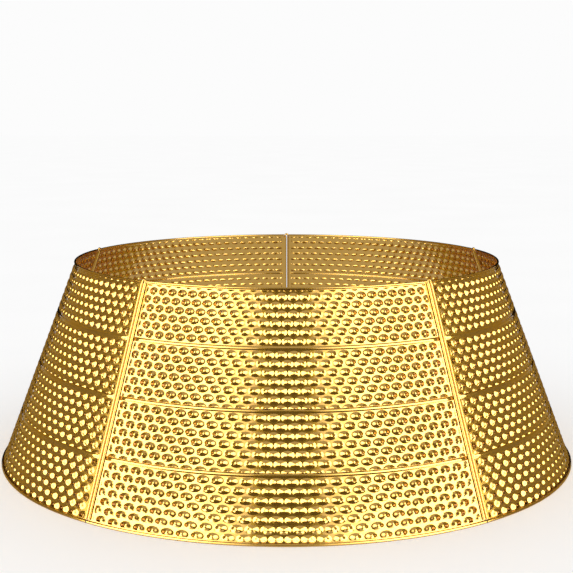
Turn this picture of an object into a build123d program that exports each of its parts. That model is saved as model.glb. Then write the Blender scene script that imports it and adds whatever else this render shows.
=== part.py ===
from build123d import *
import os
from math import asin, atan2, cos, degrees, hypot, radians, sin, sqrt

# A tree collar: five rolled sheet-metal panels stand as a leaning ring round the foot of a tree.
# Each panel's side edges are rolled into tubes, and a two-legged pin joins each pair of tubes.
# Millimetres and degrees. Z is up, the origin is the middle of the ring on the floor, and the
# front panel faces -Y. On the wall, s runs up the slope from the floor and n stands off its outside.

# Wall
wall_foot_diameter = 757.4
wall_top_diameter = 556.2
wall_height = 261.5
sheet_thickness = 0.6
panel_names = ["front", "right", "back_right", "back_left", "left"]

# Pressed ribs, which share the wall out into bands above the foot rim and end short of the seams
band_count = 4
foot_band = 5.0
rib_width = 4.5
rib_rise = 1.0
rib_end_gap = 1.0

# Rolled rims with a wire inside
foot_wire_diameter = 2.2
top_wire_diameter = 1.4
wire_fit = 0.05
wire_recess = 0.4
rim_curl_sweep = 300
foot_flat = 0.2
foot_rim_setback = 0.8
rim_web = 0.5

# Hinge tubes on the panels' side edges, and the pins in them
pin_diameter = 2.7
pin_fit = 0.05
pin_end_room = 2.0
seam_gap = 0.3
tube_lift = 0.4
tube_curl_end = 182
tube_end_gap = 0.5
joggle_gap = 0.45
joggle_lap = 0.5
pin_rim_gap = 0.2
open_tube_reach = 42
open_tube_cut = 0.6
pin_names = ["front_right", "back_right", "back", "back_left", "front_left"]

overrun = 5.0

# The wall's lean and the places that follow from it
foot_radius = wall_foot_diameter / 2
top_radius = wall_top_diameter / 2
lean = atan2(foot_radius - top_radius, wall_height)
slope_length = wall_height / cos(lean)
panel_angle = 360 / len(panel_names)
front_azimuth = -90

# Rolled rims: the sheet goes round its wire, tangent to the wall's inside
foot_inner = foot_wire_diameter / 2 + wire_fit
foot_outer = foot_inner + sheet_thickness
foot_centre = (foot_outer - foot_flat - foot_inner * sin(lean)) / cos(lean)
top_inner = top_wire_diameter / 2 + wire_fit
top_outer = top_inner + sheet_thickness
top_centre = (wall_height - top_outer - top_inner * sin(lean)) / cos(lean)

# Hinge tubes: their centres stand either side of the seam, a little above the wall
tube_inner = pin_diameter / 2 + pin_fit
tube_outer = tube_inner + sheet_thickness
tube_offset = tube_outer + seam_gap / 2
edge_width = tube_offset + tube_outer + joggle_gap
foot_web_end = foot_centre + foot_outer + rim_web
top_web_end = top_centre - top_outer - rim_web
tube_foot = foot_web_end + tube_end_gap
tube_top = top_web_end - tube_end_gap
top_rim_setback = tube_offset + pin_diameter / 2 + pin_rim_gap

# The joggle: its sheet leaves the wall at edge_width and runs at a tangent to the tube's curl
curl_middle = (tube_inner + tube_outer) / 2
joggle_reach = edge_width - tube_offset
joggle_rise = tube_lift + sheet_thickness / 2
joggle_span = hypot(joggle_reach, joggle_rise)
joggle_drop = degrees(asin(curl_middle / joggle_span) - atan2(joggle_rise, joggle_reach))
joggle_run = sqrt(joggle_span**2 - curl_middle**2)

# Ribs: their places up the slope and their round section
band_height = (slope_length - foot_band) / band_count
rib_places = [foot_band + rib * band_height for rib in range(1, band_count)]
rib_radius = (rib_width**2 / 4 + rib_rise**2) / (2 * rib_rise)
rib_setback = edge_width + joggle_lap + rib_end_gap


def curl_face(centre, inner, outer, start, sweep):
    # sheet rolled round a centre
    outside = CenterArc(centre, outer, start, sweep)
    inside = CenterArc(centre, inner, start, sweep)
    ends = [Line(outside @ 0, inside @ 0), Line(outside @ 1, inside @ 1)]
    return make_face([outside, inside] + ends)


def wall_face():
    # plain sheet from rim to rim
    return Pos(foot_centre, 0) * Rectangle(
        top_centre - foot_centre, sheet_thickness, align=(Align.MIN, Align.MAX)
    )


def rib_round(place, radius):
    # a rib's outside and inside are round about one centre, under the wall
    return Pos(place, rib_rise - rib_radius) * Circle(radius)


def rib_crown(place):
    # what the rib adds to the sheet, rooted in the middle of it
    below = Pos(place, -sheet_thickness / 2) * Rectangle(
        2 * rib_radius, 2 * rib_radius, align=(Align.CENTER, Align.MAX)
    )
    return trimmed(revolved(rib_round(place, rib_radius) - below), rib_setback)


def rib_hollow(place):
    # what the pressing leaves open behind the rib
    hollow = rib_round(place, rib_radius - sheet_thickness)
    return trimmed(revolved(hollow), rib_setback + sheet_thickness)


def foot_rim_face():
    return curl_face((foot_centre, foot_inner), foot_inner, foot_outer, -90, -rim_curl_sweep)


def top_rim_face():
    return curl_face((top_centre, top_inner), top_inner, top_outer, -90, rim_curl_sweep)


def revolved(face):
    # turns a section of the wall round one panel's angle, centred on +X
    along = Vector(-sin(lean), 0, cos(lean))
    section = Plane(origin=(foot_radius, 0, 0), x_dir=along, z_dir=(0, 1, 0))
    return Rot(0, 0, -panel_angle / 2) * revolve(section * face, Axis.Z, panel_angle)


def trimmed(body, setback):
    # cuts the body off square, a set-back inside each of the panel's two seams
    slab = Box(
        wall_foot_diameter,
        foot_radius,
        wall_height + 2 * overrun,
        align=(Align.MIN, Align.MAX, Align.MIN),
    )
    lower = Rot(0, 0, -panel_angle / 2) * Pos(0, setback, -overrun) * slab
    return body - lower - mirror(lower, about=Plane.XZ)


def seam_plane(azimuth, place):
    # plane square to a seam: x points to lower azimuths, y off the wall, z up the slope
    outward = Vector(cos(radians(azimuth)), sin(radians(azimuth)), 0)
    along = Vector(0, 0, cos(lean)) - outward * sin(lean)
    across = Vector(sin(radians(azimuth)), -cos(radians(azimuth)), 0)
    return Plane(origin=outward * foot_radius + along * place, x_dir=across, z_dir=along)


def joggle_face(cut_short):
    # flat lap on the wall, then a straight run down to meet the tube's curl at a tangent
    bend = Vector(-edge_width, -sheet_thickness / 2)
    lap = Pos(bend.X - joggle_lap, bend.Y) * Rectangle(
        joggle_lap, sheet_thickness, align=(Align.MIN, Align.CENTER)
    )
    run = Pos(bend.X, bend.Y) * Rot(0, 0, -joggle_drop) * Rectangle(
        joggle_run - cut_short, sheet_thickness, align=(Align.MIN, Align.CENTER)
    )
    return lap + Pos(bend.X, bend.Y) * Circle(sheet_thickness / 2) + run


def tube_face():
    start = -90 - joggle_drop
    curl = curl_face((-tube_offset, tube_lift), tube_inner, tube_outer, start, tube_curl_end - start)
    return joggle_face(0) + curl


def open_tube_face():
    # the closing edge cups only the far side of its pin leg, so that the ring can open there
    start = 180 - open_tube_reach
    cup = curl_face((-tube_offset, tube_lift), tube_inner, tube_outer, start, 2 * open_tube_reach)
    return joggle_face(open_tube_cut) + cup


def edge_tube(face):
    # runs along the panel's side of lower azimuth
    return extrude(seam_plane(-panel_angle / 2, tube_foot) * face, tube_top - tube_foot)


def edge_notch():
    # room for the hinge tube beside the wall, and for the pin's legs between the top rims
    beside_tube = Box(
        edge_width + overrun,
        2 * overrun,
        top_web_end - foot_web_end,
        align=(Align.MAX, Align.CENTER, Align.MIN),
    )
    beside_pin = Box(
        top_rim_setback + overrun,
        2 * overrun,
        slope_length - top_web_end + overrun,
        align=(Align.MAX, Align.CENTER, Align.MIN),
    )
    side = -panel_angle / 2
    lower = seam_plane(side, foot_web_end) * Pos(overrun, 0, 0) * beside_tube
    upper = seam_plane(side, top_web_end) * Pos(overrun, 0, 0) * beside_pin
    return lower + upper


def panel(far_face):
    floor_width = wall_foot_diameter + 2 * overrun
    below = Box(floor_width, floor_width, overrun, align=(Align.CENTER, Align.CENTER, Align.MAX))
    shell = trimmed(revolved(wall_face() + foot_rim_face() + top_rim_face()), foot_rim_setback)
    shell = shell - edge_notch() - mirror(edge_notch(), about=Plane.XZ) - below
    for place in rib_places:
        shell = shell + rib_crown(place) - rib_hollow(place)
    return shell + edge_tube(tube_face()) + mirror(edge_tube(far_face), about=Plane.XZ)


def rim_wire(place, lift, diameter, setback):
    return trimmed(revolved(Pos(place, lift) * Circle(diameter / 2)), setback + wire_recess)


def hinge_pin():
    # two legs and a round bend, standing in a seam on +X
    leg_foot = tube_foot + pin_end_room
    leg_section = Pos(tube_offset, tube_lift) * Circle(pin_diameter / 2)
    leg = extrude(seam_plane(0, leg_foot) * leg_section, top_centre - leg_foot)
    bend_plane = seam_plane(0, top_centre)
    leg_top = bend_plane * leg_section
    middle = bend_plane.origin + bend_plane.y_dir * tube_lift
    bend = revolve(leg_top, Axis(middle, bend_plane.y_dir), -180)
    return leg + mirror(leg, about=Plane.XZ) + bend


def save(body, node):
    export_step(body, "parts/" + node + ".step")


os.makedirs("parts", exist_ok=True)

closed_panel = panel(tube_face())
closing_panel = panel(open_tube_face())
foot_wire = rim_wire(foot_centre, foot_inner, foot_wire_diameter, foot_rim_setback)
top_wire = rim_wire(top_centre, top_inner, top_wire_diameter, top_rim_setback)
pin = hinge_pin()

for turn, (name, pin_name) in enumerate(zip(panel_names, pin_names)):
    place = Rot(0, 0, front_azimuth + turn * panel_angle)
    seam = Rot(0, 0, front_azimuth + (turn + 1 / 2) * panel_angle)
    save(place * (closing_panel if pin_name == "back" else closed_panel), "panel_" + name)
    save(place * foot_wire, "foot_wire_" + name)
    save(place * top_wire, "top_wire_" + name)
    save(seam * pin, "hinge_pin_" + pin_name)
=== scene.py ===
from math import asin, atan2, cos, degrees, hypot, pi, radians, sin, sqrt
import bmesh
import bpy
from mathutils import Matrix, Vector


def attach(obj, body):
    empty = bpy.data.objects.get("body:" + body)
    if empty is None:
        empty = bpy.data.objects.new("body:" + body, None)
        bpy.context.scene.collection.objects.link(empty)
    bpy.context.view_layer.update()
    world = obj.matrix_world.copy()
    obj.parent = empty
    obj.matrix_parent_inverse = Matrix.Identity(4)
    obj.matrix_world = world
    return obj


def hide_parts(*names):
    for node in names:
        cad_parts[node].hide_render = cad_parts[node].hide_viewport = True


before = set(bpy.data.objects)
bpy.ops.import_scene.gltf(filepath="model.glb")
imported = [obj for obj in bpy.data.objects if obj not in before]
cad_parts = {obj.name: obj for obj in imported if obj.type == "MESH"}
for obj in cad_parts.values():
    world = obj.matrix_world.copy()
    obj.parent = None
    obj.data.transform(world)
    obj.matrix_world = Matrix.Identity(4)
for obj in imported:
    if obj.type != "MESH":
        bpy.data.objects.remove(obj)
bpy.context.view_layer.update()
mm = 0.001

# the collar's sizes in millimetres and degrees, as in the frame
collar = {
    "footRadius": 378.7,
    "topRadius": 278.1,
    "height": 261.5,
    "sheet": 0.6,
    "panels": ["front", "right", "back_right", "back_left", "left"],
    "closingPanel": "back_right",  # its far edge cups the pin instead of wrapping it
    "crease": 45,  # edges that turn by more are drawn crisp
}
collar["lean"] = atan2(collar["footRadius"] - collar["topRadius"], collar["height"])
collar["slope"] = collar["height"] / cos(collar["lean"])
collar["halfPanel"] = 180 / len(collar["panels"])


def addNode(tree, kind, settings=None, links=None):
    # adds a node with its settings, and with a value or a link on each named input
    node = tree.nodes.new(kind)
    for key, value in (settings or {}).items():
        setattr(node, key, value)
    for key, value in (links or {}).items():
        if isinstance(value, bpy.types.NodeSocket):
            tree.links.new(value, node.inputs[key])
        else:
            node.inputs[key].default_value = value
    return node


def toLinear(hexColour):
    # sRGB hex to the linear colour that shaders take
    parts = [int(hexColour[i:i + 2], 16) / 255 for i in (1, 3, 5)]
    return [c / 12.92 if c <= 0.04045 else ((c + 0.055) / 1.055) ** 2.4 for c in parts] + [1.0]


def wallRadius(along, off):
    # how far a point of the wall is from the collar's axis
    return collar["footRadius"] - along * sin(collar["lean"]) + off * cos(collar["lean"])


def onWall(turn, along, off):
    # turn in degrees from the panel's middle, along up the slope, off the wall's outside
    radius = wallRadius(along, off)
    rise = along * cos(collar["lean"]) + off * sin(collar["lean"])
    return Vector((radius * sin(radians(turn)), -radius * cos(radians(turn)), rise)) * mm


def seamTurn(gap, along, off=0):
    # the turn at which a point of the wall is a gap away from the seam's plane
    return collar["halfPanel"] - degrees(asin(gap / wallRadius(along, off)))


# Materials

# gold lacquered sheet: a warm mirror under clear varnish, whose highlights are a little soft
goldLook = {
    "pale": "#B48A30",
    "deep": "#A88028",
    "edge": "#D8B070",  # what the lacquer turns to at a grazing look
    "cloudMm": 60.0,  # soft unevenness of the lacquer
    "grainMm": 0.8,  # rolling grain of the sheet
    "roughness": 0.17,
    "coat": 1.5,  # index of the clear varnish
    "coatRoughness": 0.04,
}
# the same lacquer on a thin pin, with smaller clouds and a shade duller
pinLook = {**goldLook, "cloudMm": 20.0, "roughness": 0.18}
# bright drawn steel wire: a bare grey mirror, softer than the lacquered sheet
steelLook = {
    "pale": "#C9C6BE",
    "deep": "#9E9B94",
    "edge": "#FFFFFF",
    "cloudMm": 15.0,
    "grainMm": 0.5,
    "roughness": 0.25,
}
grain = {
    "darkest": 0.3,  # where the noise's values mostly lie
    "lightest": 0.7,
    "wander": 0.2,  # share of its roughness by which a metal varies either way
    "relief": 0.15,
    "depthMm": 0.02,
}
noiseDetail = {"grain": 2.0, "lacquer": 3.0, "paper": 2.0}
bumpLean = {
    "across": 0.75,
    "upwards": 0.32,
    "tip": 0.14,  # keeps the very middle of a bump blunt
    "foot": 0.06,  # share of the lean that is left at the foot
    "wholeTo": 0.38,  # share of the radius inside which the lean is whole
}
mapMiddle = 2.0  # a bump's middle on its own map, where its foot is 1 away and plain sheet lies at nought


def addNoise(tree, sizeMm, detail):
    # noise whose blotches are about a size in millimetres
    place = addNode(tree, "ShaderNodeTexCoord").outputs["Object"]
    settings = {"Vector": place, "Scale": 1 / (sizeMm * mm), "Detail": detail}
    return addNode(tree, "ShaderNodeTexNoise", None, settings).outputs["Fac"]


def addTint(tree, noise, look):
    # wanders between the look's two colours
    colours = {0: noise, 6: toLinear(look["pale"]), 7: toLinear(look["deep"])}
    return addNode(tree, "ShaderNodeMix", {"data_type": "RGBA"}, colours).outputs[2]


def addFullness(tree, lean):
    # rounds each pressed bump further: leans the surface outwards from the middle of the bump's own map,
    # whole near the middle and fading to almost nothing at the foot
    number = "ShaderNodeMath"
    vector = "ShaderNodeVectorMath"
    spot = addNode(tree, "ShaderNodeUVMap", {"uv_map": "bump"}).outputs["UV"]
    middle = (mapMiddle, mapMiddle, 0.0)
    arm = addNode(tree, vector, {"operation": "SUBTRACT"}, {0: spot, 1: middle}).outputs[0]
    reach = addNode(tree, vector, {"operation": "LENGTH"}, {0: arm}).outputs["Value"]
    smooth = {"interpolation_type": "SMOOTHSTEP"}
    fade = {"Value": reach, "From Min": 1.0, "From Max": lean["wholeTo"], "To Min": lean["foot"]}
    slope = addNode(tree, "ShaderNodeMapRange", smooth, fade).outputs["Result"]
    inside = addNode(tree, number, {"operation": "LESS_THAN"}, {0: reach, 1: 1.0}).outputs[0]
    share = addNode(tree, number, {"operation": "MULTIPLY"}, {0: slope, 1: inside}).outputs[0]
    blunt = addNode(tree, number, {"operation": "ADD"}, {0: reach, 1: lean["tip"]}).outputs[0]
    strength = addNode(tree, number, {"operation": "DIVIDE"}, {0: share, 1: blunt}).outputs[0]
    shares = (lean["across"], lean["upwards"], 0.0)
    steep = addNode(tree, vector, {"operation": "MULTIPLY"}, {0: arm, 1: shares}).outputs[0]
    leaned = addNode(tree, vector, {"operation": "SCALE"}, {0: steep, "Scale": strength}).outputs[0]
    raised = addNode(tree, vector, {"operation": "ADD"}, {0: leaned, 1: (0.0, 0.0, 1.0)}).outputs[0]
    unit = addNode(tree, vector, {"operation": "NORMALIZE"}, {0: raised}).outputs[0]
    halved = {0: unit, 1: (0.5, 0.5, 0.5), 2: (0.5, 0.5, 0.5)}
    colour = addNode(tree, vector, {"operation": "MULTIPLY_ADD"}, halved).outputs[0]
    settings = {"space": "TANGENT", "uv_map": "bump"}
    return addNode(tree, "ShaderNodeNormalMap", settings, {"Color": colour}).outputs["Normal"]


def makeMetal(name, look):
    # polished metal: a mirror in its own or its lacquer's colour, barely blurred by a fine grain
    material = bpy.data.materials.new(name)
    material.use_nodes = True
    tree = material.node_tree
    shader = tree.nodes["Principled BSDF"]
    fine = addNoise(tree, look["grainMm"], noiseDetail["grain"])
    limits = {
        "Value": fine,
        "From Min": grain["darkest"],
        "From Max": grain["lightest"],
        "To Min": look["roughness"] * (1 - grain["wander"]),
        "To Max": look["roughness"] * (1 + grain["wander"]),
    }
    gloss = addNode(tree, "ShaderNodeMapRange", None, limits)
    relief = {"Strength": grain["relief"], "Distance": grain["depthMm"] * mm, "Height": fine}
    if "lean" in look:
        relief["Normal"] = addFullness(tree, look["lean"])
    bump = addNode(tree, "ShaderNodeBump", None, relief)
    clouds = addNoise(tree, look["cloudMm"], noiseDetail["lacquer"])
    tree.links.new(addTint(tree, clouds, look), shader.inputs["Base Color"])
    tree.links.new(gloss.outputs["Result"], shader.inputs["Roughness"])
    tree.links.new(bump.outputs["Normal"], shader.inputs["Normal"])
    shader.inputs["Metallic"].default_value = 1.0
    shader.inputs["Specular Tint"].default_value = toLinear(look["edge"])
    if "coat" in look:
        shader.inputs["Coat Weight"].default_value = 1.0
        shader.inputs["Coat IOR"].default_value = look["coat"]
        shader.inputs["Coat Roughness"].default_value = look["coatRoughness"]
        tree.links.new(bump.outputs["Normal"], shader.inputs["Coat Normal"])
    return material


def makeMatte(name, look):
    # matte paper and card: no shine at all, with a faint unevenness
    material = bpy.data.materials.new(name)
    material.use_nodes = True
    tree = material.node_tree
    shader = tree.nodes["Principled BSDF"]
    clouds = addNoise(tree, look["cloudMm"], noiseDetail["paper"])
    tree.links.new(addTint(tree, clouds, look), shader.inputs["Base Color"])
    shader.inputs["Roughness"].default_value = look["roughness"]
    shader.inputs["Specular IOR Level"].default_value = 0.0
    return material


goldSheet = makeMetal("goldLacqueredSheet", {**goldLook, "lean": bumpLean})
goldPin = makeMetal("goldLacqueredPin", pinLook)
rimSteel = makeMetal("brightSteelWire", steelLook)
print("materials made")


# Panels: lengths in millimetres along the wall, turns in degrees round it

bumps = {
    "pitch": 2.61,  # degrees from bump to bump along a row
    "rowPitch": 9.95,
    "rise": 1.2,
    "columns": 31,
    "rows": 7,
    "width": 0.97,  # share of the cell that a bump fills
    "rings": [(1.0, 0.0), (0.75, 0.44), (0.4, 0.84)],  # shares of the radius and of the rise
    "shifts": [0.34, 0.09, 0.58, 0.58],  # where each band's lowest row starts, in pitches
    "sideCut": 7.2,  # from the seam's middle to where the bumps are cut off
    "sideSteps": 12,  # points up each side of a band, less one
}
tolerances = {
    "weld": 0.002,  # neighbouring cells' border points
    "cut": 0.02,  # a point this near to a cut is taken to lie on it
    "edge": 0.03,  # the same for finding the edges that the cut has left
    "flat": 0.001,  # a lower point of a cut needs no wall under it
}
ribs = {
    "footBand": 5.0,
    "bands": 4,
    "width": 4.5,
    "rise": 1.0,
    "steps": 8,
    "setback": 6.1,  # from the seam's middle to the rib's end
    "endSlope": 1.0,  # length over which the end rises
    "margin": 0.35,  # flat strip between a rib and the cut bumps
    "firstRow": 7.3,  # from a rib down to the first row under it
    "topBandFirstRow": 7.9,  # from the highest rib up to the row over it
}
rims = {
    "footWire": 2.2,
    "topWire": 1.4,
    "wireFit": 0.05,
    "sweep": 300,
    "footFlat": 0.2,  # how deep the foot rim is pressed flat
    "footSetback": 0.8,  # from the seam's middle to the foot rim's end
    "web": 0.5,  # strip beside a rim that keeps the rim's full width
    "steps": 26,
    "columns": 48,  # steps across the panel in rims and ribs
}
tubes = {
    "pin": 2.7,
    "pinFit": 0.05,
    "seamGap": 0.3,  # between the two tubes of a seam
    "lift": 0.4,  # of the tube's middle over the wall's outside
    "curlEnd": 182,  # where round the pin the sheet ends
    "endGap": 0.5,  # between a tube's end and the strip beside the rim
    "joggleGap": 0.45,  # from the tube to where the sheet leaves the wall
    "lap": 0.5,  # how far the tube's sheet runs on along the wall
    "pinRimGap": 0.2,  # between the pin and the top rim's end
    "openReach": 42,  # how far the open tube cups its pin, to either side
    "openCut": 0.6,  # how much shorter the open tube's run is
    "openSteps": 10,
    "steps": 30,
}

ribs["bandHeight"] = (collar["slope"] - ribs["footBand"]) / ribs["bands"]
ribs["places"] = [ribs["footBand"] + i * ribs["bandHeight"] for i in range(1, ribs["bands"])]
rims["footInner"] = rims["footWire"] / 2 + rims["wireFit"]
rims["topInner"] = rims["topWire"] / 2 + rims["wireFit"]
rims["footCentre"] = (
    rims["footInner"] + collar["sheet"] - rims["footFlat"] - rims["footInner"] * sin(collar["lean"])
) / cos(collar["lean"])
rims["topCentre"] = (
    collar["height"] - rims["topInner"] - collar["sheet"] - rims["topInner"] * sin(collar["lean"])
) / cos(collar["lean"])
rims["footWeb"] = rims["footCentre"] + rims["footInner"] + collar["sheet"] + rims["web"]
rims["topWeb"] = rims["topCentre"] - rims["topInner"] - collar["sheet"] - rims["web"]
tubes["middle"] = tubes["pin"] / 2 + tubes["pinFit"] + collar["sheet"] / 2
tubes["outer"] = tubes["middle"] + collar["sheet"] / 2
tubes["offset"] = tubes["outer"] + tubes["seamGap"] / 2
tubes["edge"] = tubes["offset"] + tubes["outer"] + tubes["joggleGap"]
tubes["topSetback"] = tubes["offset"] + tubes["pin"] / 2 + tubes["pinRimGap"]


def makeBumpCell():
    # one bump in its own square of sheet, one unit wide; neighbours share its border points
    quarters = [i / 4 for i in range(2, -3, -1)]
    upper = [(0.5, 0.0)] + [(x, 0.5) for x in quarters]
    border = upper + [(-x, -y) for x, y in upper]
    count = len(border)
    angles = [radians(360 * i / count) for i in range(count)]
    mesh = bmesh.new()
    rings = [[mesh.verts.new((x, y, 0)) for x, y in border]]
    for share, rise in bumps["rings"]:
        reach = bumps["width"] / 2 * share
        rings.append([mesh.verts.new((reach * cos(a), reach * sin(a), rise)) for a in angles])
    crown = mesh.verts.new((0, 0, 1))
    for outer, inner in zip(rings, rings[1:]):
        for i in range(count):
            k = (i + 1) % count
            mesh.faces.new((outer[i], outer[k], inner[k], inner[i]))
    for i in range(count):
        mesh.faces.new((rings[-1][i], rings[-1][(i + 1) % count], crown))
    bumpMap = mesh.loops.layers.uv.new("bump")
    for i in range(count):
        mesh.edges.get((rings[1][i], rings[1][(i + 1) % count])).smooth = False  # crisp foot of the bump
    for face in mesh.faces:
        face.smooth = True
        for loop in face.loops:
            spot = loop.vert.co / (bumps["width"] / 2)
            loop[bumpMap].uv = (spot.x + mapMiddle, spot.y + mapMiddle)
    data = bpy.data.meshes.new("bumpCell")
    mesh.to_mesh(data)
    mesh.free()
    cell = bpy.data.objects.new("bumpCell", data)
    bpy.context.scene.collection.objects.link(cell)
    return cell


def makeBumpTree(cell):
    # rows of cells laid out flat, every other row moved along by half a cell
    tree = bpy.data.node_groups.new("bumpRows", "GeometryNodeTree")
    sockets = {
        "Columns": "Int",
        "Rows": "Int",
        "Pitch": "Float",
        "Row Pitch": "Float",
        "Rise": "Float",
        "Shift": "Float",
        "Lowest Row": "Float",
    }
    for name, kind in sockets.items():
        tree.interface.new_socket(name=name, in_out="INPUT", socket_type="NodeSocket" + kind)
    tree.interface.new_socket(name="Geometry", in_out="OUTPUT", socket_type="NodeSocketGeometry")
    number = "ShaderNodeMath"
    minus = {"operation": "SUBTRACT"}
    times = {"operation": "MULTIPLY"}
    plus = {"operation": "ADD"}
    given = addNode(tree, "NodeGroupInput").outputs
    columnSteps = addNode(tree, number, minus, {0: given["Columns"], 1: 1.0}).outputs[0]
    rowSteps = addNode(tree, number, minus, {0: given["Rows"], 1: 1.0}).outputs[0]
    wide = addNode(tree, number, times, {0: columnSteps, 1: given["Pitch"]}).outputs[0]
    high = addNode(tree, number, times, {0: rowSteps, 1: given["Row Pitch"]}).outputs[0]
    gridSizes = {
        "Size X": wide,
        "Size Y": high,
        "Vertices X": given["Columns"],
        "Vertices Y": given["Rows"],
    }
    grid = addNode(tree, "GeometryNodeMeshGrid", None, gridSizes).outputs["Mesh"]
    position = addNode(tree, "GeometryNodeInputPosition").outputs[0]
    level = addNode(tree, "ShaderNodeSeparateXYZ", None, {0: position}).outputs["Y"]
    half = addNode(tree, number, times, {0: high, 1: 0.5}).outputs[0]
    fromLowest = addNode(tree, number, plus, {0: level, 1: half}).outputs[0]
    row = addNode(tree, number, {"operation": "DIVIDE"}, {0: fromLowest, 1: given["Row Pitch"]}).outputs[0]
    whole = addNode(tree, number, {"operation": "ROUND"}, {0: row}).outputs[0]
    odd = addNode(tree, number, {"operation": "MODULO"}, {0: whole, 1: 2.0}).outputs[0]
    halfCell = {0: odd, 1: 0.5, 2: given["Shift"]}
    stagger = addNode(tree, number, {"operation": "MULTIPLY_ADD"}, halfCell).outputs[0]
    sideways = addNode(tree, number, times, {0: stagger, 1: given["Pitch"]}).outputs[0]
    upwards = addNode(tree, number, plus, {0: half, 1: given["Lowest Row"]}).outputs[0]
    offset = addNode(tree, "ShaderNodeCombineXYZ", None, {"X": sideways, "Y": upwards}).outputs[0]
    placed = addNode(tree, "GeometryNodeSetPosition", None, {"Geometry": grid, "Offset": offset}).outputs[0]
    sizes = {"X": given["Pitch"], "Y": given["Row Pitch"], "Z": given["Rise"]}
    size = addNode(tree, "ShaderNodeCombineXYZ", None, sizes).outputs[0]
    source = addNode(tree, "GeometryNodeObjectInfo", None, {"Object": cell, "As Instance": True})
    copies = {"Points": placed, "Instance": source.outputs["Geometry"], "Scale": size}
    instances = addNode(tree, "GeometryNodeInstanceOnPoints", None, copies).outputs[0]
    real = addNode(tree, "GeometryNodeRealizeInstances", None, {0: instances}).outputs[0]
    finished = addNode(tree, "GeometryNodeSetMaterial", None, {0: real, "Material": goldSheet}).outputs[0]
    addNode(tree, "NodeGroupOutput", None, {0: finished})
    return tree


def makeBumpRows(tree, values):
    # evaluates the tree once and keeps the plain mesh
    host = bpy.data.objects.new("bumpRows", bpy.data.meshes.new("bumpRows"))
    bpy.context.scene.collection.objects.link(host)
    modifier = host.modifiers.new("bumpRows", "NODES")
    modifier.node_group = tree
    for item in tree.interface.items_tree:
        if item.in_out == "INPUT":
            modifier[item.identifier] = values[item.name]
    mesh = bpy.data.meshes.new_from_object(host.evaluated_get(bpy.context.evaluated_depsgraph_get()))
    bpy.data.objects.remove(host)
    return mesh


def zipChains(mesh, lower, upper, axis):
    # fills between two chains of points that run the same way, whatever their counts
    i = k = 0
    while i < len(lower) - 1 or k < len(upper) - 1:
        nextLower = lower[i + 1].co[axis] if i < len(lower) - 1 else float("inf")
        nextUpper = upper[k + 1].co[axis] if k < len(upper) - 1 else float("inf")
        if nextLower <= nextUpper:
            mesh.faces.new((lower[i], lower[i + 1], upper[k])).smooth = True
            i += 1
        else:
            mesh.faces.new((lower[i], upper[k + 1], upper[k])).smooth = True
            k += 1


def cutBand(mesh, low, high):
    # trims the rows of bumps to the band, walls up each cut bump, and gives the four edge chains
    left = [(-seamTurn(bumps["sideCut"], s), s) for s in (low, high)]
    right = [(-x, s) for x, s in left]
    lines = {
        "bottom": (left[0], right[0]),
        "top": (right[1], left[1]),
        "left": (left[1], left[0]),
        "right": (right[0], right[1]),
    }
    outwards = {}
    for name, (start, end) in lines.items():
        outwards[name] = Vector((end[1] - start[1], start[0] - end[0], 0)).normalized()
        bmesh.ops.bisect_plane(
            mesh,
            geom=mesh.verts[:] + mesh.edges[:] + mesh.faces[:],
            dist=tolerances["cut"],
            plane_co=(*start, 0),
            plane_no=outwards[name],
            clear_outer=True,
        )
    bases = {}
    chains = {}
    edges = [edge for edge in mesh.edges if edge.is_boundary]
    for name, (start, end) in lines.items():
        axis = 0 if name in ("bottom", "top") else 1
        onLine = set()
        for edge in edges:
            aways = [(vert.co - Vector((*start, vert.co.z))).dot(outwards[name]) for vert in edge.verts]
            if all(abs(away) < tolerances["edge"] for away in aways):
                onLine.update(edge.verts)
        crest = sorted(onLine, key=lambda vert: vert.co[axis])
        for vert in crest:
            if vert not in bases:
                lifted = vert.co.z > tolerances["flat"]
                bases[vert] = mesh.verts.new((vert.co.x, vert.co.y, 0)) if lifted else vert
        chains[name] = (crest, [bases[vert] for vert in crest])
    for name, (crest, base) in chains.items():
        forward = name in ("bottom", "right")
        for i in range(len(crest) - 1):
            loop = []
            for vert in (base[i], base[i + 1], crest[i + 1], crest[i]):
                if vert not in loop:
                    loop.append(vert)
            if len(loop) > 2:
                mesh.faces.new(loop if forward else loop[::-1]).smooth = False
    return {name: base for name, (crest, base) in chains.items()}


def addRow(mesh, turns, along, heights):
    # one row of points across the panel, each at its own height off the wall
    return [mesh.verts.new((turn, along, height)) for turn, height in zip(turns, heights)]


def spread(gaps, along, off=0.0):
    # the turns of a row's points: the given gaps from each seam, and even steps between them
    ends = [seamTurn(gap, along, off) for gap in gaps]
    steps = rims["columns"]
    inner = [-ends[-1] + 2 * ends[-1] * i / steps for i in range(1, steps)]
    return [-end for end in ends] + inner + ends[::-1]


def addLevelRow(mesh, gaps, along, off=0.0):
    turns = spread(gaps, along, off)
    return addRow(mesh, turns, along, [off] * len(turns))


def joinRows(mesh, rows):
    for lower, upper in zip(rows, rows[1:]):
        for i in range(len(lower) - 1):
            mesh.faces.new((lower[i], lower[i + 1], upper[i + 1], upper[i])).smooth = True


def arcPoints(centre, radius, start, sweep, steps):
    return [
        (
            centre[0] + radius * cos(radians(start + sweep * i / steps)),
            centre[1] + radius * sin(radians(start + sweep * i / steps)),
        )
        for i in range(steps + 1)
    ]


def addFootRim(mesh):
    # the sheet rolled round its wire, and the strip over it, whose points it gives
    gaps = [rims["footSetback"], tubes["edge"]]
    centre = (rims["footCentre"], rims["footInner"])
    curl = arcPoints(centre, rims["footInner"], -90 - rims["sweep"], rims["sweep"], rims["steps"])
    rows = [addLevelRow(mesh, gaps, s, n) for s, n in curl]
    rows.append(addLevelRow(mesh, gaps, rims["footWeb"]))
    joinRows(mesh, rows)
    return rows[-1][1:-1]


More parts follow.
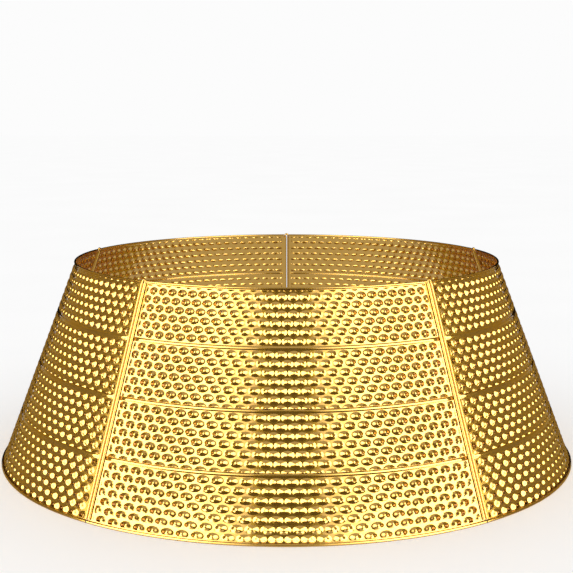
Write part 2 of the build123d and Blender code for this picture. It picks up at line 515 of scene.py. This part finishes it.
def addTopRim(mesh, upperEdge):
    gaps = [tubes["topSetback"], tubes["edge"]]
    centre = (rims["topCentre"], rims["topInner"])
    curl = arcPoints(centre, rims["topInner"], -90, rims["sweep"], rims["steps"])
    rows = [addLevelRow(mesh, gaps, rims["topWeb"])]
    rows += [addLevelRow(mesh, gaps, s, n) for s, n in curl]
    joinRows(mesh, rows)
    zipChains(mesh, upperEdge, rows[0][1:-1], 0)


def addRib(mesh, place, upperEdge):
    # a round rib that runs out short of the seams; gives its highest row of points
    half = ribs["width"] / 2
    crown = (half**2 + ribs["rise"] ** 2) / (2 * ribs["rise"])
    gaps = [tubes["edge"], ribs["setback"], ribs["setback"] + ribs["endSlope"]]
    rows = []
    for i in range(ribs["steps"] + 1):
        across = -half + ribs["width"] * i / ribs["steps"]
        rise = sqrt(crown**2 - across**2) - (crown - ribs["rise"])
        turns = spread(gaps, place + across)
        heights = [0, 0] + [max(rise, 0)] * (len(turns) - 4) + [0, 0]
        rows.append(addRow(mesh, turns, place + across, heights))
    joinRows(mesh, rows)
    zipChains(mesh, upperEdge, rows[0], 0)
    return rows[-1]


def addBumps(mesh, tree, band, low, high):
    # one band's bumps: the rows reach past it on every side and are cut to it; gives its four edges
    if band == ribs["bands"] - 1:
        rows = bumps["rows"] + 1
        lowest = ribs["places"][-1] + ribs["topBandFirstRow"] - bumps["rowPitch"]
    else:
        rows = bumps["rows"]
        lowest = ribs["places"][band] - ribs["firstRow"] - (rows - 1) * bumps["rowPitch"]
    values = {
        "Columns": bumps["columns"],
        "Rows": rows,
        "Pitch": bumps["pitch"],
        "Row Pitch": bumps["rowPitch"],
        "Rise": bumps["rise"],
        "Shift": bumps["shifts"][band],
        "Lowest Row": lowest,
    }
    field = bmesh.new()
    field.from_mesh(makeBumpRows(tree, values))
    bmesh.ops.remove_doubles(field, verts=field.verts[:], dist=tolerances["weld"])
    chains = cutBand(field, low, high)
    keep = {vert: mesh.verts.new(vert.co) for vert in field.verts}
    fieldMap = field.loops.layers.uv["bump"]
    bumpMap = mesh.loops.layers.uv["bump"]
    for face in field.faces:
        made = mesh.faces.new([keep[vert] for vert in face.verts])
        made.smooth = face.smooth
        for madeEdge, oldEdge in zip(made.edges, face.edges):
            madeEdge.smooth = oldEdge.smooth
        for madeLoop, oldLoop in zip(made.loops, face.loops):
            madeLoop[bumpMap].uv = oldLoop[fieldMap].uv
    edges = {name: [keep[vert] for vert in chain] for name, chain in chains.items()}
    field.free()
    print("band", band + 1, "has", rows, "rows of bumps, the lowest at", round(lowest, 1), "mm")
    return edges


def makePanelSkin(tree):
    # the outside of one panel, laid out flat: x is the turn, y is up the slope, z is off the wall
    mesh = bmesh.new()
    mesh.loops.layers.uv.new("bump")
    half = ribs["width"] / 2
    last = ribs["bands"] - 1
    places = [rims["footWeb"]] + ribs["places"] + [rims["topWeb"]]
    below = addFootRim(mesh)
    for band in range(ribs["bands"]):
        low = places[band] + (half if band else 0) + ribs["margin"]
        high = places[band + 1] - (half if band < last else 0) - ribs["margin"]
        edges = addBumps(mesh, tree, band, low, high)
        steps = bumps["sideSteps"]
        spots = [low + (high - low) * i / steps for i in range(steps + 1)]
        sides = {}
        for name, sign in (("left", -1), ("right", 1)):
            sides[name] = [mesh.verts.new((sign * seamTurn(tubes["edge"], s), s, 0)) for s in spots]
        zipChains(mesh, edges["left"], sides["left"], 1)
        zipChains(mesh, sides["right"], edges["right"], 1)
        lowerEdge = [sides["left"][0]] + edges["bottom"] + [sides["right"][0]]
        upperEdge = [sides["left"][-1]] + edges["top"] + [sides["right"][-1]]
        zipChains(mesh, below, lowerEdge, 0)
        if band < last:
            below = addRib(mesh, places[band + 1], upperEdge)
        else:
            addTopRim(mesh, upperEdge)
    return mesh


cell = makeBumpCell()
skin = makePanelSkin(makeBumpTree(cell))
bpy.data.objects.remove(cell)
for vert in skin.verts:
    vert.co = onWall(*vert.co)
bmesh.ops.remove_doubles(skin, verts=skin.verts[:], dist=1e-7)
print("panel skin", len(skin.verts), "points", len(skin.faces), "faces")


def thicken(skin):
    # gives the skin the sheet's thickness, inwards
    data = bpy.data.meshes.new("panelSkin")
    skin.to_mesh(data)
    outside = len(data.polygons)
    host = bpy.data.objects.new("panelSkin", data)
    bpy.context.scene.collection.objects.link(host)
    solid = host.modifiers.new("sheet", "SOLIDIFY")
    solid.thickness = collar["sheet"] * mm
    solid.offset = -1
    mesh = bpy.data.meshes.new_from_object(host.evaluated_get(bpy.context.evaluated_depsgraph_get()))
    bpy.data.objects.remove(host)
    for vert in mesh.vertices:
        vert.co.z = max(vert.co.z, 0)  # the foot rim is pressed flat where it stands
    bumpMap = mesh.uv_layers["bump"]
    for face in mesh.polygons[outside:]:
        for loop in face.loop_indices:
            bumpMap.uv[loop].vector = (0, 0)
    return mesh


def tubePaths(wrapped):
    # middle line of the sheet at a panel's side, x from the seam into the panel, y off the wall
    bend = (tubes["edge"], -collar["sheet"] / 2)
    centre = (tubes["offset"], tubes["lift"])
    span = hypot(bend[0] - centre[0], centre[1] - bend[1])
    drop = degrees(asin(tubes["middle"] / span) - atan2(centre[1] - bend[1], bend[0] - centre[0]))
    run = sqrt(span**2 - tubes["middle"] ** 2)
    lap = (bend[0] + tubes["lap"], bend[1])
    if wrapped:
        sweep = tubes["curlEnd"] + 90 + drop
        arc = arcPoints((0, 0), tubes["middle"], -90 - drop, sweep, tubes["steps"])
        return [[lap, bend] + [(centre[0] - x, centre[1] + y) for x, y in arc]]
    run -= tubes["openCut"]
    end = (bend[0] - run * cos(radians(drop)), bend[1] - run * sin(radians(drop)))
    reach = tubes["openReach"]
    arc = arcPoints(centre, tubes["middle"], -reach, 2 * reach, tubes["openSteps"])
    return [[lap, bend, end], arc]


def addStrip(mesh, path, side):
    # sweeps a strip of sheet along a seam, closed at both ends
    half = collar["sheet"] / 2
    outline = ([], [])
    for i, point in enumerate(path):
        before = Vector(path[max(i - 1, 0)])
        after = Vector(path[min(i + 1, len(path) - 1)])
        direction = (after - before).normalized()
        normal = Vector((-direction.y, direction.x))
        outline[0].append(Vector(point) + normal * half)
        outline[1].append(Vector(point) - normal * half)
    turn = radians(collar["halfPanel"] * side)
    outward = Vector((sin(turn), -cos(turn), 0))
    inwards = Vector((cos(turn), sin(turn), 0)) * -side  # from the seam into the panel
    lean = collar["lean"]
    off = outward * cos(lean) + Vector((0, 0, sin(lean)))
    along = Vector((0, 0, cos(lean))) - outward * sin(lean)
    ends = []
    for s in (rims["footWeb"] + tubes["endGap"], rims["topWeb"] - tubes["endGap"]):
        base = outward * collar["footRadius"] + along * s
        places = [[(base + inwards * p.x + off * p.y) * mm for p in line] for line in outline]
        ends.append([[mesh.verts.new(place) for place in line] for line in places])
    (lowA, lowB), (highA, highB) = ends
    faces = []
    for i in range(len(path) - 1):
        faces.append((lowA[i], lowA[i + 1], highA[i + 1], highA[i]))
        faces.append((lowB[i + 1], lowB[i], highB[i], highB[i + 1]))
        faces.append((lowB[i], lowB[i + 1], lowA[i + 1], lowA[i]))
        faces.append((highA[i], highA[i + 1], highB[i + 1], highB[i]))
    for i in (0, len(path) - 1):
        faces.append((lowA[i], highA[i], highB[i], lowB[i]))
    made = [mesh.faces.new(face) for face in faces]
    bmesh.ops.recalc_face_normals(mesh, faces=made)
    for face in made:
        face.smooth = True


def makePanel(name, index, sheet):
    mesh = bmesh.new()
    mesh.from_mesh(sheet)
    for side in (-1, 1):
        for path in tubePaths(not (name == collar["closingPanel"] and side == 1)):
            addStrip(mesh, path, side)
    turn = radians(2 * collar["halfPanel"] * index)
    for vert in mesh.verts:
        x, y = vert.co.x, vert.co.y
        vert.co.x = x * cos(turn) - y * sin(turn)
        vert.co.y = x * sin(turn) + y * cos(turn)
    for edge in mesh.edges:
        if edge.calc_face_angle(0) > radians(collar["crease"]):
            edge.smooth = False
    data = bpy.data.meshes.new("embossedPanel." + name)
    mesh.to_mesh(data)
    mesh.free()
    data.materials.clear()
    data.materials.append(goldSheet)
    panel = bpy.data.objects.new("embossedPanel." + name, data)
    bpy.context.scene.collection.objects.link(panel)
    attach(panel, name + "_panel")
    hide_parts("panel_" + name)
    print("panel", name, sum(len(face.vertices) - 2 for face in data.polygons), "triangles")


sheet = thicken(skin)
skin.free()
for index, name in enumerate(collar["panels"]):
    makePanel(name, index, sheet)

for name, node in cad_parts.items():
    if name.startswith("panel_"):
        continue
    finish = goldPin if name.startswith("hinge_pin") else rimSteel
    node.data.materials.clear()
    node.data.materials.append(finish)
print("frame pieces finished")


# Stage, light and camera: metres and degrees

stage = {
    "floorLook": {"pale": "#FAFAFA", "deep": "#F6F6F6", "cloudMm": 400.0, "roughness": 0.7},
    "background": "#FCFCFC",
    "floorSize": 20.0,
    "roomLevel": 1.03,  # the room's light on unpolished surfaces, where 1 is white
    "softboxTurn": 44.5,  # degrees to either side of the camera
    "softboxDistance": 2.05,
    "softboxHeight": 3.1,
    "softboxFoot": -1.0,  # height of its lower edge
    # its face dims towards the camera in upright strips: from, to, and brightness, where 1 is white
    "softboxStrips": [(-1.2, 0.5, 7.3), (0.5, 0.72, 5.0), (0.72, 0.98, 3.2), (0.98, 1.28, 1.6)],
    "cardLook": {"cloudMm": 200.0, "roughness": 0.9},
    "cards": {  # turn from the camera, distance, height of the foot, width, height, lean back, shade
        "frontCard": (0, 2.6, 0.0, 1.3, 2.6, 0, "#8C8460"),
        "leftCard": (-95, 2.3, -1.6, 1.4, 4.6, 0, "#B0A478"),
        "rightCard": (95, 2.3, -1.6, 1.4, 4.6, 0, "#B0A478"),
        "leftFarCard": (-126, 2.4, -1.6, 1.2, 4.6, 0, "#C2AE58"),
        "rightFarCard": (126, 2.4, -1.6, 1.2, 4.6, 0, "#C2AE58"),
        "backCard": (180, 2.2, -1.6, 3.4, 4.6, 0, "#101010"),
        "floorCard": (0, 0.4, 0.002, 2.6, 1.5, 90, "#847C5C"),
        "ceilingCard": (180, 2.5, 2.9, 5.0, 4.6, 90, "#A89C78"),
    },
}
cameraView = {
    "lens": 73.25,
    "sensor": 36,
    "place": (0, -1.554, 0.455),
    "lookDown": 8.59,
}


def addPlane(name, width, height, material):
    # an upright rectangle standing on the origin and facing the camera
    mesh = bmesh.new()
    corners = [(-width / 2, 0), (width / 2, 0), (width / 2, height), (-width / 2, height)]
    mesh.faces.new([mesh.verts.new((x, 0, z)) for x, z in corners])
    data = bpy.data.meshes.new(name)
    mesh.to_mesh(data)
    mesh.free()
    data.materials.append(material)
    plane = bpy.data.objects.new(name, data)
    bpy.context.scene.collection.objects.link(plane)
    return plane


def makeFloor():
    size = stage["floorSize"]
    floor = addPlane("floor", 2 * size, 2 * size, makeMatte("palePaper", stage["floorLook"]))
    floor.rotation_euler = (radians(-90), 0, 0)
    floor.location = (0, -size, 0)
    floor.visible_glossy = False


def makeCards():
    # coloured cards that only the polished metal shows
    for name, (turn, distance, foot, width, height, lean, shade) in stage["cards"].items():
        look = {"pale": shade, "deep": shade, **stage["cardLook"]}
        card = addPlane(name, width, height, makeMatte(name, look))
        card.rotation_euler = (radians(lean), 0, radians(turn))
        card.location = (distance * sin(radians(turn)), -distance * cos(radians(turn)), foot)
        card.visible_camera = False
        card.visible_diffuse = False


def makeSoftboxes():
    # one lamp for each strip of a softbox, which only the polished metal shows
    distance = stage["softboxDistance"]
    high = stage["softboxHeight"]
    for side in (-1, 1):
        turn = radians(stage["softboxTurn"] * side)
        for start, end, level in stage["softboxStrips"]:
            data = bpy.data.lights.new("softbox", "AREA")
            data.shape = "RECTANGLE"
            data.size = end - start
            data.size_y = high
            data.energy = level * pi * (end - start) * high
            lamp = bpy.data.objects.new("softbox", data)
            bpy.context.scene.collection.objects.link(lamp)
            shift = (start + end) / 2 * side
            lamp.location = (
                distance * sin(turn) - shift * cos(turn),
                -distance * cos(turn) - shift * sin(turn),
                stage["softboxFoot"] + high / 2,
            )
            lamp.rotation_euler = (radians(90), 0, turn)
            lamp.visible_camera = False
            lamp.visible_diffuse = False


def makeRoom():
    # even light from all round, and the plain background that the camera and the metal see
    world = bpy.data.worlds.new("studio")
    bpy.context.scene.world = world
    world.use_nodes = True
    tree = world.node_tree
    tree.nodes.clear()
    rays = addNode(tree, "ShaderNodeLightPath").outputs
    either = {"operation": "MAXIMUM"}
    polished = {0: rays["Is Glossy Ray"], 1: rays["Is Transmission Ray"]}
    mirrored = addNode(tree, "ShaderNodeMath", either, polished).outputs[0]
    showing = addNode(tree, "ShaderNodeMath", either, {0: rays["Is Camera Ray"], 1: mirrored})
    room = {"Color": toLinear("#FFFFFF"), "Strength": stage["roomLevel"]}
    seen = {"Color": toLinear(stage["background"]), "Strength": 1.0}
    shares = {0: showing.outputs[0]}
    shares[1] = addNode(tree, "ShaderNodeBackground", None, room).outputs[0]
    shares[2] = addNode(tree, "ShaderNodeBackground", None, seen).outputs[0]
    mixed = addNode(tree, "ShaderNodeMixShader", None, shares)
    addNode(tree, "ShaderNodeOutputWorld", None, {0: mixed.outputs[0]})


def makeCamera():
    data = bpy.data.cameras.new("camera")
    data.lens = cameraView["lens"]
    data.sensor_width = cameraView["sensor"]
    camera = bpy.data.objects.new("camera", data)
    bpy.context.scene.collection.objects.link(camera)
    camera.location = cameraView["place"]
    camera.rotation_euler = (radians(90 - cameraView["lookDown"]), 0, 0)
    bpy.context.scene.camera = camera


makeFloor()
makeSoftboxes()
makeRoom()
makeCards()
makeCamera()
bpy.context.scene.view_settings.view_transform = "Standard"
print("stage, light and camera placed")
